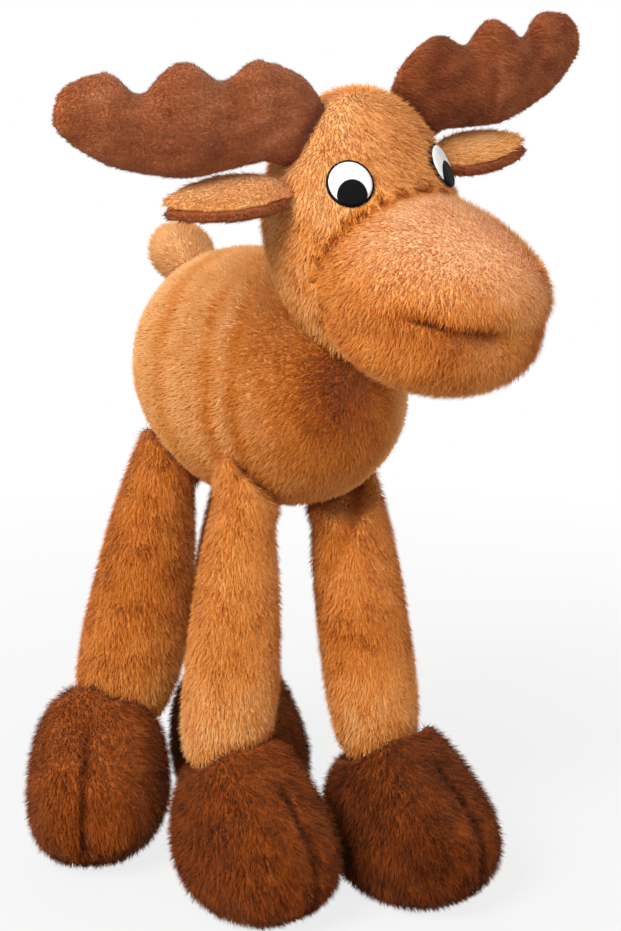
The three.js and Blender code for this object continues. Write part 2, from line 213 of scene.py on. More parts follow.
def white_floor():
    """A wide floor that the camera sees as white, and a little greyer round the toy."""
    mesh = bpy.data.meshes.new("floor")
    reach = FLOOR_REACH
    mesh.from_pydata([(-reach, -reach, 0), (reach, -reach, 0), (reach, reach, 0), (-reach, reach, 0)],
                     [], [(0, 1, 2, 3)])
    floor = placed("floor", mesh)
    cloth, tree = finish_tree("floor_white")
    dull = Strand.node(tree, "ShaderNodeBsdfDiffuse", {}, {"Color": (0.55, 0.55, 0.55, 1)})
    lit = Strand.node(tree, "ShaderNodeEmission", {}, {"Color": (1, 1, 1, 1), "Strength": 1})
    place = Strand.node(tree, "ShaderNodeTexCoord", output="Object")
    far = Strand.node(tree, "ShaderNodeVectorMath", {"operation": "DISTANCE"},
                      {0: place, 1: (TRUNK.x, TRUNK.y, 0)}, "Value")
    open_floor = Strand.node(tree, "ShaderNodeMapRange", {}, {
        "Value": far, "From Min": 0.2, "From Max": 0.75, "To Min": 0.82, "To Max": 1.0})
    share = seen_directly(tree) * open_floor
    mixed = Strand.node(tree, "ShaderNodeMixShader", {}, {0: share, 1: dull, 2: lit})
    surfaced(tree, mixed)
    mesh.materials.append(cloth)


def seen_directly(tree):
    """1 for what the camera sees directly, in gloss or through something clear."""
    path = Strand.node(tree, "ShaderNodeLightPath", output="Is Camera Ray")
    return path.above(path["Is Glossy Ray"]).above(path["Is Transmission Ray"])


# Finishes


def ramp(*stops):
    """The stops of a colour ramp: for each a place from 0 to 1, and a colour as srgb takes it."""
    return [(place, srgb(*colour)) for place, *colour in stops]


TAN = ramp((0, 96, 36, 8), (0.22, 154, 72, 18), (0.42, 201, 116, 40),
           (0.6, 223, 148, 71), (0.8, 233, 179, 119), (1, 244, 216, 176))
# A less saturated copy of the tan, as painted light on the torso and tail
LIT_TAN = ramp((0, 96, 36, 8), (0.22, 154, 74, 16), (0.42, 198, 117, 42),
                 (0.6, 212, 148, 84), (0.8, 228, 178, 124), (1, 240, 212, 174))
PEACH = ramp((0, 112, 50, 16), (0.22, 172, 86, 26), (0.42, 206, 124, 48),
             (0.6, 224, 152, 80), (0.8, 236, 182, 132), (1, 246, 216, 178))
BROWN = ramp((0, 40, 14, 2), (0.3, 92, 38, 6),
             (0.6, 146, 70, 18), (1, 194, 110, 50))
RED_BROWN = ramp((0, 66, 26, 10), (0.3, 120, 56, 26),
                 (0.6, 166, 92, 52), (1, 214, 148, 108))
# The colours of each plush by its tone, from 0 to 1, and how much it shines at a slant
DYES = {COAT: TAN, LIT_COAT: LIT_TAN, PALE: PEACH, HOOF: BROWN, ANTLER: RED_BROWN, LINING: RED_BROWN}
SHEENS = {COAT: 0.3, LIT_COAT: 0.3, PALE: 0.34, HOOF: 0.12, ANTLER: 0.3, LINING: 0.16}


def finish_tree(name):
    """A new material and its empty tree."""
    material = bpy.data.materials.new(name)
    material.use_nodes = True
    tree = material.node_tree
    tree.nodes.clear()
    return material, tree


def plush(tree, colour, sheen, extra=()):
    """A fibrous surface: rough, with a soft sheen."""
    shader = Strand.node(tree, "ShaderNodeBsdfPrincipled", {}, {
        "Base Color": colour, "Roughness": 0.9, "Specular IOR Level": 0.08,
        "Sheen Weight": sheen, "Sheen Roughness": 0.5, "Sheen Tint": (1, 0.82, 0.62, 1), **dict(extra)})
    surfaced(tree, shader)


def pile_finish(plush_kind):
    """Pile: the map gives a fibre's tone across and its root and tip upward, with painted shade that darkens
    each fibre toward its root.
    """
    material, tree = finish_tree(f"{plush_kind}_pile")
    place = Strand.node(tree, "ShaderNodeUVMap", {"uv_map": "OFBake"})
    apart = Strand.node(tree, "ShaderNodeSeparateXYZ", {}, {0: place})
    tone, height = apart["X"], apart["Y"]
    dye = Strand.node(tree, "ShaderNodeValToRGB", {"stops": DYES[plush_kind]}, {0: tone})
    # Painted shade deep in the pile: darker and warmer toward each fibre's root
    depth = Strand.node(tree, "ShaderNodeValToRGB", {"stops": [
        (0.0, (0.78, 0.64, 0.5)), (0.35, (0.96, 0.92, 0.88)), (0.7, (1, 1, 1)), (1.0, (1, 1, 1))]},
        {0: height})
    colour = Strand.node(tree, "ShaderNodeMix", {"data_type": "RGBA", "blend_type": "MULTIPLY"},
                         {"Factor": 1.0, 6: dye, 7: depth}, output=2)
    plush(tree, colour, SHEENS[plush_kind])
    return material


def skin_finish(plush_kind):
    """The knitted backing that the pile grows from, with its short roots."""
    material, tree = finish_tree(f"{plush_kind}_backing")
    tone = Strand.node(tree, "ShaderNodeAttribute", {"attribute_name": "tone"}, output="Fac")
    place = Strand.node(tree, "ShaderNodeTexCoord", output="Object")

    def noise(scale, detail):
        return Strand.node(tree, "ShaderNodeTexNoise", {}, {
            "Vector": place, "Scale": scale, "Detail": detail}, "Fac")

    fuzz = noise(scale=900.0, detail=3.0)
    tuft = noise(scale=160.0, detail=2.0)
    shade = tone + (fuzz - 0.5) * 0.4 + (tuft - 0.5) * 0.2 + 0.04
    dye = Strand.node(tree, "ShaderNodeValToRGB", {"stops": DYES[plush_kind]}, {0: shade})
    bump = Strand.node(tree, "ShaderNodeBump", {}, {
        "Strength": 0.8, "Distance": 0.0012, "Height": fuzz * 0.6 + tuft})
    plush(tree, dye, SHEENS[plush_kind], {"Normal": bump})
    return material


# Skins

WELD = 0.01 * MM
# How far off a CAD surface is looked for, and the distance that stands for farther ones, in metres
SEARCH_REACH = 0.03
FAR_OFF = 1.0


def numbers(collection, key, width=3):
    """What each item of a collection says under a key, as rows."""
    flat = np.empty(len(collection) * width, np.float64)
    collection.foreach_get(key, flat)
    return flat.reshape(-1, width)


def points_and_normals(mesh):
    return numbers(mesh.vertices, "co"), numbers(mesh.vertices, "normal")


def move_points(mesh, points):
    mesh.vertices.foreach_set("co", points.ravel())
    mesh.update()


def merged_copy(*nodes):
    """The meshes of CAD nodes with their corners joined, as one new mesh."""
    mesh = bpy.data.meshes.new(nodes[0])
    work = bmesh.new()
    for node in nodes:
        work.from_mesh(frame["nodes"][node].data)
    bmesh.ops.remove_doubles(work, verts=work.verts, dist=WELD)
    work.to_mesh(mesh)
    work.free()
    return mesh


SOLIDS = {}


def solid(node):
    """The CAD node's surface, for distances from it, worked out once."""
    if node not in SOLIDS:
        mesh = merged_copy(node)
        points = [v.co.copy() for v in mesh.vertices]
        faces = [tuple(p.vertices) for p in mesh.polygons]
        SOLIDS[node] = BVHTree.FromPolygons(points, faces)
        bpy.data.meshes.remove(mesh)
    return SOLIDS[node]


def distance_to(points, nodes):
    """How far each point is from the nearest of these nodes, negative inside it."""
    result = np.full(len(points), FAR_OFF)
    for node in nodes:
        tree = solid(node)
        for i, point in enumerate(points):
            near, normal, _, far = tree.find_nearest(Vector(point), SEARCH_REACH)
            if near is None:
                continue
            if (Vector(point) - near).dot(normal) < 0:
                far = -far
            result[i] = min(result[i], far)
    return result


def finished(obj):
    """The object with its modifiers worked into its mesh."""
    graph = bpy.context.evaluated_depsgraph_get()
    mesh = bpy.data.meshes.new_from_object(obj.evaluated_get(graph))
    obj.modifiers.clear()
    obj.data = mesh
    return obj


def relaxed(mesh, rounds, share=0.5):
    """Evens a mesh out: each point moves a share of the way to the middle of its neighbours."""
    share = np.broadcast_to(share, len(mesh.vertices))[:, None]
    points = numbers(mesh.vertices, "co")
    edges = numbers(mesh.edges, "vertices", 2).astype(int)
    count = np.bincount(edges.ravel(), minlength=len(points))[:, None]
    for _ in range(rounds):
        total = np.zeros_like(points)
        for axis in range(3):
            total[:, axis] = np.bincount(edges[:, 0], points[edges[:, 1], axis], len(points))
            total[:, axis] += np.bincount(edges[:, 1], points[edges[:, 0], axis], len(points))
        points += (total / count - points) * share
    move_points(mesh, points)


def remeshed(obj, voxel):
    """Gives an object one closed surface of even faces, by a cell size in millimetres."""
    remesh = obj.modifiers.new("even", "REMESH")
    remesh.mode = "VOXEL"
    remesh.voxel_size = voxel * MM
    return finished(obj)


def evened(name, nodes, voxel, smooth):
    """One closed, even surface round CAD nodes, for a skin to be shaped from."""
    obj = remeshed(placed(name, merged_copy(*nodes)), voxel)
    relaxed(obj.data, rounds=smooth)
    return obj


def filled(obj, reach, voxel):
    """Fills the furrows of a surface: it is moved outward, evened and moved back in."""
    remeshed(drawn_in(obj, -reach), voxel)
    relaxed(obj.data, rounds=2)
    drawn_in(obj, reach)
    relaxed(obj.data, rounds=4)
    return obj


def drawn_in(obj, depth, floor=None):
    """Moves a surface inward by a depth in millimetres, a number or one for each point."""
    points, normals = points_and_normals(obj.data)
    points -= normals * (np.broadcast_to(depth, len(points)) * MM)[:, None]
    if floor is not None:
        points[:, 2] = np.maximum(points[:, 2], floor * MM)
    move_points(obj.data, points)
    return obj


def near_to(points, nodes, reach):
    """1 where points lie against one of these nodes, falling to 0 at 1.3 times a reach in millimetres."""
    return clamped(1.3 - np.maximum(distance_to(points, nodes), 0) / (reach * MM))


def rooted(obj, node, depth, reach=8):
    """Runs the end of a piece that is sewn to a node on into it, by a depth in millimetres."""
    points = numbers(obj.data.vertices, "co")
    near = near_to(points, [node], reach)
    way = box_middle(node) - (points * near[:, None]).sum(0) / near.sum()
    points += way / np.linalg.norm(way) * (near * depth * MM)[:, None]
    move_points(obj.data, points)


def sewn(obj, body, slot, nodes, plush_kind=None):
    """Finishes a surface as the skin in place of CAD nodes: smooth, with its backing, on its body and with
    the nodes hidden.
    """
    obj.data.polygons.foreach_set("use_smooth", [True] * len(obj.data.polygons))
    obj.data.materials.clear()
    obj.data.materials.append(finish("skin", plush_kind or slot))
    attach(obj, body)
    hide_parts(*nodes)
    return obj


def skin(name, nodes, body, slot, voxel, draw_in, smooth=3, shape=None, floor=None, root=None,
         plush_kind=None):
    """A sewn skin in place of CAD solids: evened, and drawn in by the depth of its pile."""
    obj = evened(name, nodes, voxel, smooth)
    if shape:
        draw_in = draw_in + shape(*points_and_normals(obj.data))
    drawn_in(obj, draw_in, floor)
    if root:
        rooted(obj, *root)
    return sewn(obj, body, slot, nodes, plush_kind=plush_kind)


def islands(faces):
    """Lists of the faces that hang together."""
    found, seen = [], set()
    for start in faces:
        if start in seen:
            continue
        island, waiting = [], [start]
        seen.add(start)
        while waiting:
            face = waiting.pop()
            island.append(face)
            for near in (one for edge in face.edges for one in edge.link_faces):
                if near not in seen:
                    seen.add(near)
                    waiting.append(near)
        found.append(island)
    return found


def parted(obj, name, keep):
    """The part of a closed surface whose faces are kept, without crumbs, and closed again inside."""
    mesh = obj.data.copy()
    work = bmesh.new()
    work.from_mesh(mesh)
    away = [face for face, kept in zip(work.faces, keep) if not kept]
    bmesh.ops.delete(work, geom=away, context="FACES")
    parts = islands(work.faces)
    largest = max(parts, key=len)
    crumbs = [face for part in parts if part is not largest for face in part]
    bmesh.ops.delete(work, geom=crumbs, context="FACES")
    rim = [edge for edge in work.edges if len(edge.link_faces) == 1]
    ring = dict.fromkeys(vert for edge in rim for vert in edge.verts)
    hub = work.verts.new(sum((v.co for v in ring), Vector()) / len(ring))
    for edge in rim:
        first, second = edge.link_loops[0].vert, edge.link_loops[0].link_loop_next.vert
        work.faces.new((second, first, hub))
        edge.smooth = False
    work.to_mesh(mesh)
    work.free()
    return placed(name, mesh)


FINISHES = {}


def finish(kind, plush_kind):
    """The skin or pile finish of a kind of plush, made once."""
    if (kind, plush_kind) not in FINISHES:
        make = {"skin": skin_finish, "pile": pile_finish}[kind]
        FINISHES[kind, plush_kind] = make(plush_kind)
    return FINISHES[kind, plush_kind]


def keep_attribute(mesh, name, kind, values):
    old = mesh.attributes.get(name)
    if old:
        mesh.attributes.remove(old)
    made = mesh.attributes.new(name, kind, "POINT")
    key = "vector" if kind == "FLOAT_VECTOR" else "value"
    made.data.foreach_set(key, np.asarray(values, np.float32).ravel())


def kept_attribute(mesh, name):
    values = np.empty(len(mesh.vertices), np.float32)
    mesh.attributes[name].data.foreach_get("value", values)
    return values


# The waves that are summed, and the height that their sum seldom passes
WAVES = 7
FULL_HEIGHT = 3.2


def wavy(points, size, seed):
    """Smooth noise from -1 to 1 over places, with waves of about this size in millimetres."""
    rng = np.random.default_rng(seed)
    total = np.zeros(len(points))
    for _ in range(WAVES):
        way = rng.normal(size=3)
        way /= np.linalg.norm(way)
        closeness, start = rng.uniform(0.7, 1.4), rng.uniform(0, 6.28)
        total += np.sin(points @ way * (2 * math.pi / (size * MM)) * closeness + start)
    return total / FULL_HEIGHT


def along_line(points, line, reach):
    """How near points are to a line through places set out from the torso's middle, in millimetres: 1 on
    the line and 0 beyond its reach. Also how far along it the nearest place is, from 0 to 1."""
    places = np.array(line, float) * MM + np.array(TRUNK)
    best = np.full(len(points), FAR_OFF)
    share = np.zeros(len(points))
    for i, (start, end) in enumerate(zip(places, places[1:])):
        way = end - start
        part = clamped((points - start) @ way / (way @ way))
        away = np.linalg.norm(points - start - part[:, None] * way, axis=1)
        share = np.where(away < best, (i + part) / (len(places) - 1), share)
        best = np.minimum(best, away)
    return clamped(1 - best / (reach * MM)), share


# How far the pile keeps off what covers it, and the width of its edge there, in millimetres
BARE = 1.2
BARE_EDGE = 0.8


def groomed(obj, nap, tone, seed, covered_by=(), crease_by=(), crease=5.0, crease_depth=0.3, extra=None):
    """Gives a skin what its pile is grown by: the way it lies, its tone, its cover and its height. Pile is
    left out under covered_by, and painted darker as shade within a crease in millimetres of crease_by."""
    mesh = obj.data
    points, normals = points_and_normals(mesh)
    lay = np.asarray(nap(points, normals), float)
    lay -= normals * (lay * normals).sum(1)[:, None]
    size = np.linalg.norm(lay, axis=1)[:, None]
    lay = lay / np.maximum(size, 1e-6)
    shade = tone + 0.035 * wavy(points, size=46, seed=seed) + 0.025 * wavy(points, size=17, seed=seed + 50)
    cover = np.ones(len(points))
    if covered_by:
        gap = distance_to(points, covered_by) / MM
        cover *= clamped((gap - BARE) / BARE_EDGE)
    if crease_by:
        gap = distance_to(points, crease_by) / MM
        # Painted shade where the skin meets the parts of crease_by
        shade -= crease_depth * clamped(1 - np.abs(gap) / crease) ** 1.5
    height = np.ones(len(points))
    if extra:
        lay, shade, cover, height = extra(points, normals, lay, shade, cover, height)
    keep_attribute(mesh, "nap", "FLOAT_VECTOR", lay)
    keep_attribute(mesh, "tone", "FLOAT", np.clip(shade, 0.02, 0.98))
    keep_attribute(mesh, "cover", "FLOAT", cover)
    keep_attribute(mesh, "height", "FLOAT", height)
    return obj


# Pile

# Density is fibres in a square metre. Lengths are in metres, and the rest are shares of the fibre's way or
# changes of tone. Tufts are drawn to their middles by the pull, waves turn whole patches, and a cleft is the
# gap between some tufts, painted darker as shade. The other tables hold what differs from this one
PILE = {
    "Density": 1.35e6, "Length": 3.6 * MM, "Half width": 0.24 * MM, "Lift": 0.85, "Tuft size": 2.6 * MM,
    "Tuft pull": 0.45, "Stray": 0.3, "Wave size": 12 * MM, "Wave": 0.45, "Tone spread": 0.05,
    "Tuft tone": 0.06, "Cleft": 0.3, "Floor": -1.0}
TORSO_PILE = {
    "Density": 1.5e6, "Length": 3.2 * MM, "Half width": 0.27 * MM, "Lift": 0.8, "Tuft size": 2.4 * MM,
    "Wave": 0.3, "Tuft tone": 0.04, "Cleft": 0.12}
TAIL_PILE = {**TORSO_PILE, "Length": 3.4 * MM}
HOOF_PILE = {
    "Density": 1.2e6, "Length": 4.2 * MM, "Lift": 1.1, "Tuft size": 3 * MM, "Tuft pull": 0.6, "Stray": 0.4,
    "Wave": 0.8, "Tuft tone": 0.14, "Floor": 0.3 * MM}
HEAD_PILE = {"Density": 1.18e6, "Half width": 0.26 * MM, "Cleft": 0.38}
MUZZLE_PILE = {"Tuft size": 2.4 * MM}
ANTLER_PILE = {
    "Density": 2.4e6, "Length": 1.9 * MM, "Half width": 0.17 * MM, "Lift": 0.5, "Tuft size": 2 * MM,
    "Tuft pull": 0.4, "Stray": 0.25, "Wave": 0.4, "Cleft": 0.18}
EAR_PILE = {"Density": 1.8e6, "Length": 3 * MM, "Lift": 0.45, "Tuft size": 2.4 * MM, "Cleft": 0.2}
LINING_PILE = {"Density": 2.0e6, "Length": 2.0 * MM, "Half width": 0.2 * MM, "Lift": 0.5}


def fibre_template():
    """A few fibres together: a closed three-sided spike, flat across, with a place along it."""
    mesh = bpy.data.meshes.new("fibre")
    mesh.from_pydata([(-1, -0.12, 0), (1, -0.12, 0), (0, 0.26, 0), (0, 0, 1)], [],
                     [(0, 2, 1), (0, 1, 3), (1, 2, 3), (2, 0, 3)])
    keep_attribute(mesh, "beside", "FLOAT", (-1, 1, 0, 0))
    keep_attribute(mesh, "along", "FLOAT", (0.04, 0.04, 0.04, 0.96))
    mesh.polygons.foreach_set("use_smooth", [False] * 4)
    return bpy.data.objects.new("fibre", mesh)


def pile_tree():
    """Strews points over a skin and lays a fibre along the nap at each, drawn together in tufts."""
    tree = bpy.data.node_groups.new("plush_pile", "GeometryNodeTree")
    for name, kind in (("Skin", "Geometry"), *((size, "Float") for size in PILE),
                       ("Seed", "Int"), ("Fibre", "Object"), ("Finish", "Material")):
        tree.interface.new_socket(name, in_out="INPUT", socket_type=f"NodeSocket{kind}")
    tree.interface.new_socket("Pile", in_out="OUTPUT", socket_type="NodeSocketGeometry")

    def add(kind, settings=(), inputs=(), output=0):
        return Strand.node(tree, kind, settings, inputs, output)

    def kept(name, kind="FLOAT"):
        return add("GeometryNodeInputNamedAttribute", {"data_type": kind}, {"Name": name}, "Attribute")

    given = add("NodeGroupInput")
    seed = given["Seed"]
    tuft_scale = 1 / given["Tuft size"]
    wave_scale = 1 / given["Wave size"]
    strewn = add("GeometryNodeDistributePointsOnFaces", {"distribute_method": "RANDOM"}, {
        "Mesh": given["Skin"], "Density": given["Density"] * kept("cover"), "Seed": seed}, "Points")
    place = add("GeometryNodeInputPosition")
    outward = strewn["Normal"]

    # The way of each fibre, with its length
    tuft = add("ShaderNodeTexVoronoi", {"voronoi_dimensions": "3D"}, {
        "Vector": place, "Scale": tuft_scale}, "Position")
    waves = add("ShaderNodeTexNoise", {"noise_dimensions": "3D"}, {
        "Vector": place, "Scale": wave_scale, "Detail": 1.0}, "Color")
    waves = add("ShaderNodeVectorMath", {"operation": "SUBTRACT"}, {0: waves, 1: (0.5, 0.5, 0.5)})
    stray = add("FunctionNodeRandomValue", {"data_type": "FLOAT_VECTOR"}, {
        0: (-1, -1, -1), 1: (1, 1, 1), "Seed": seed + 7})
    way = kept("nap", "FLOAT_VECTOR") + outward * given["Lift"]
    way = way + waves * given["Wave"] + stray * given["Stray"]
    way = add("ShaderNodeVectorMath", {"operation": "NORMALIZE"}, {0: way})
    way = way * given["Length"] + (tuft - place) * given["Tuft pull"]
    reach = add("ShaderNodeVectorMath", {"operation": "LENGTH"}, {0: way}, "Value")
    uneven = add("FunctionNodeRandomValue", {"data_type": "FLOAT"}, {2: 0.72, 3: 1.2, "Seed": seed + 3}, 1)
    long = reach * uneven * kept("height")
    turned = add("FunctionNodeAlignRotationToVector", {"axis": "Z"}, {"Vector": way})
    turned = add("FunctionNodeAlignRotationToVector", {"axis": "Y", "pivot_axis": "Z"}, {
        "Rotation": turned, "Vector": outward})
    size = add("ShaderNodeCombineXYZ", {}, {0: given["Half width"], 1: given["Half width"], 2: long})
    shown = add("GeometryNodeObjectInfo", {"transform_space": "ORIGINAL"}, {
        "Object": given["Fibre"]}, "Geometry")
    set_out = add("GeometryNodeInstanceOnPoints", {}, {
        "Points": strewn, "Instance": shown, "Rotation": turned, "Scale": size})

    # Its tone
    dyed = add("FunctionNodeRandomValue", {"data_type": "FLOAT"}, {2: -1.0, 3: 1.0, "Seed": seed + 11}, 1)
    rim = add("ShaderNodeTexVoronoi", {"voronoi_dimensions": "3D", "feature": "DISTANCE_TO_EDGE"}, {
        "Vector": place, "Scale": tuft_scale}, "Distance")
    patches = add("ShaderNodeTexNoise", {"noise_dimensions": "3D"}, {
        "Vector": place, "Scale": wave_scale, "Detail": 0.0}, "Fac")
    # Painted shade in the clefts between some tufts
    cleft_shade = add("ShaderNodeMapRange", {}, {
        "Value": rim, "From Min": 0.0, "From Max": 0.14, "To Min": 1.0, "To Max": 0.0})
    cleft_shade = cleft_shade * add("ShaderNodeMapRange", {}, {
        "Value": patches, "From Min": 0.42, "From Max": 0.6, "To Min": 0.0, "To Max": 1.0})
    of_tuft = add("ShaderNodeSeparateXYZ", {}, {0: tuft["Color"]}) - 0.5
    tone = kept("tone") + dyed * given["Tone spread"] + of_tuft * given["Tuft tone"]
    tone = tone - cleft_shade * given["Cleft"]
    set_out = add("GeometryNodeStoreNamedAttribute", {"data_type": "FLOAT", "domain": "INSTANCE"}, {
        "Geometry": set_out, "Name": "own_tone", "Value": tone})

    # The fibres as one mesh, held above the floor, with the tone and the height up each fibre as its map
    pile = add("GeometryNodeRealizeInstances", {}, {0: set_out})
    apart = add("ShaderNodeSeparateXYZ", {}, {0: add("GeometryNodeInputPosition")})
    held = add("ShaderNodeCombineXYZ", {}, {
        0: apart["X"], 1: apart["Y"], 2: apart["Z"].above(given["Floor"])})
    pile = add("GeometryNodeSetPosition", {}, {"Geometry": pile, "Position": held})
    tone = add("ShaderNodeClamp", {}, {0: kept("own_tone"), 1: 0.01, 2: 0.99}) + kept("beside") * 0.004
    across = add("ShaderNodeCombineXYZ", {}, {0: tone, 1: kept("along")})
    pile = add("GeometryNodeStoreNamedAttribute", {"data_type": "FLOAT2", "domain": "CORNER"}, {
        "Geometry": pile, "Name": "OFBake", "Value": across})
    pile = add("GeometryNodeSetMaterial", {}, {"Geometry": pile, "Material": given["Finish"]})
    out = tree.nodes.new("NodeGroupOutput")
    tree.links.new(pile.socket, out.inputs[0])
    return tree


# What the pile is grown by, and isn't kept on it
SPARE = ("nap", "tone", "cover", "height", "own_tone", "beside", "along")


def grow(name, backing, body, slot, tree, fibre, share=None, plush_kind=None, **sizes):
    """The pile of one skin, or of the share of it that lies on one side of a plane."""
    mesh = backing.data.copy()
    if share is not None:
        cover = kept_attribute(mesh, "cover") * share(numbers(mesh.vertices, "co"))
        keep_attribute(mesh, "cover", "FLOAT", cover)
    obj = placed(name, mesh)
    growth = obj.modifiers.new("pile", "NODES")
    growth.node_group = tree
    given = {**PILE, "Fibre": fibre, "Finish": finish("pile", plush_kind or slot), **sizes}
    for item in tree.interface.items_tree:
        if item.in_out == "INPUT" and item.name in given:
            growth[item.identifier] = given[item.name]
    finished(obj)
    for spare in SPARE:
        extra = obj.data.attributes.get(spare)
        if extra:
            obj.data.attributes.remove(extra)
    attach(obj, body)
    return obj


# The toy


def along_way(*way):
    """A nap that lies the same way all over."""
    return lambda points, normals: np.tile(way, (len(points), 1))


# The torso's folds: how far each lies behind the line of the front ones, its half width and its height
FOLDS = ((32, 6, -0.09), (18, 7, 0.07), (5, 4, 0.06), (-3, 3.5, -0.1), (-11, 4, 0.05), (-18, 3, -0.11))
FOLD_DEPTH = 8
# How much the folds' crests are painted lighter and their furrows darker, as light and shade
FOLD_LIGHT_AND_SHADE = 1.7
# The middle of the painted shade on the chest, from the torso's middle
CHEST = (-0.014, -0.083, 0.013)


def folds(points, normals):
    """The soft folds that run down the flanks: above 0 on their crests and below it in their furrows."""
    from_middle = (points - box_middle("torso")) / MM
    line = -28 + 20 * clamped(from_middle[:, 2] / 62) ** 1.5
    behind = from_middle[:, 1] - line
    height = sum(high * np.exp(-((behind - place) / wide) ** 2) for place, wide, high in FOLDS)
    on_flank = clamped(1.3 * np.abs(normals[:, 0]) + 0.15) * np.where(normals[:, 0] > 0, 0.5, 1)
    uneven = 0.75 + 0.35 * wavy(points, size=50, seed=8)
    return height * uneven * on_flank * clamped((from_middle[:, 2] + 45) / 20)


def trunk(tree, fibre):
    torso = filled(evened("torso_skin", ["torso"], voxel=3.4, smooth=1), reach=8, voxel=3.4)
    points, normals = points_and_normals(torso.data)
    seated = near_to(points, ["head", "tail"], reach=6)
    drawn_in(torso, 2.6 - FOLD_DEPTH * folds(points, normals) - 2.4 * seated)
    sewn(torso, "torso", COAT, ["torso"], plush_kind=LIT_COAT)
    chest = box_middle("torso") + np.array(CHEST)

    def shaded(points, normals, lay, shade, cover, height):
        """Painted light and shade: lighter in front on the left, on top and toward the rump, darker below
        and on the chest, and lighter and darker over the folds.
        """
        from_middle = (points - box_middle("torso")) / MM
        shade = shade + FOLD_LIGHT_AND_SHADE * folds(points, normals)
        shade += 0.13 * clamped((from_middle[:, 1] + 20) / 50) + 0.02 * clamped(normals[:, 2])
        shade -= 0.06 * clamped(-from_middle[:, 2] / 50)
        shade -= 0.42 * np.exp(-(np.linalg.norm((points - chest) * (1, 1, 0.75), axis=1) / (28 * MM)) ** 2)
        shade += 0.3 * clamped((from_middle[:, 0] - 9) / 24) * clamped(-from_middle[:, 1] / 40)
        return lay, shade, cover, height

    groomed(torso, along_way(0, 1, -0.4), tone=0.55, seed=3, crease_by=[f"leg_{limb}" for limb in LIMBS],
            crease=7, crease_depth=0.16, extra=shaded)
    for side, seed in (("right", 11), ("left", 12)):
        grow(f"torso_pile_{side}", torso, "torso", COAT, tree, fibre, plush_kind=LIT_COAT, Seed=seed,
             share=lambda p: (p[:, 0] >= TRUNK.x) == (side == "left"), **TORSO_PILE)

    tail = skin("tail_skin", ["tail"], "tail", COAT, voxel=3.0, draw_in=2.0, root=("torso", 6),
                plush_kind=LIT_COAT)
    root = box_middle("tail") - np.array((0, 0.03, 0.015))
    groomed(tail, lambda p, n: p - root, tone=0.7, seed=4, crease_by=["torso"])
    grow("tail_pile", tail, "tail", COAT, tree, fibre, plush_kind=LIT_COAT, Seed=13, **TAIL_PILE)


def toe_frame(limb):
    """A hoof's middle, its sideways axis and the way that its toe points."""
    joint = next(j for j in frame["joints"] if j["name"] == f"ankle_{limb}")
    across = np.array(joint["axis"], float)
    forward = np.array((across[1], -across[0], 0))
    points = numbers(frame["nodes"][f"hoof_{limb}"].data.vertices, "co")
    middle = np.zeros(3)
    for axis in (across, forward, np.array((0, 0, 1.0))):
        reach = points @ axis
        middle += axis * (reach.min() + reach.max()) / 2
    return middle, across, forward


# How much fuller a leg and its hoof are toward the toy's front left, in millimetres
FULLER_WAY = np.array((0.84, -0.54, 0))
FULLER = {"front_right": (4.5, 0), "front_left": (0, 0), "rear_right": (8, 7), "rear_left": (0, 0)}
# How light each leg and hoof is, with painted light on the lit ones and painted shade on the shaded ones
LEG_TONES_AND_LIGHT = {"front_right": 0.56, "front_left": 0.5, "rear_right": 0.42, "rear_left": 0.53}
HOOF_TONES_AND_LIGHT = {"front_right": 0.5, "front_left": 0.4, "rear_right": 0.62, "rear_left": 0.44}
# The fold at the top of the front left leg
LEG_FOLD = ((29, -38, 204), (13, -54, 192), (8, -54, 179), (3, -47, 164))


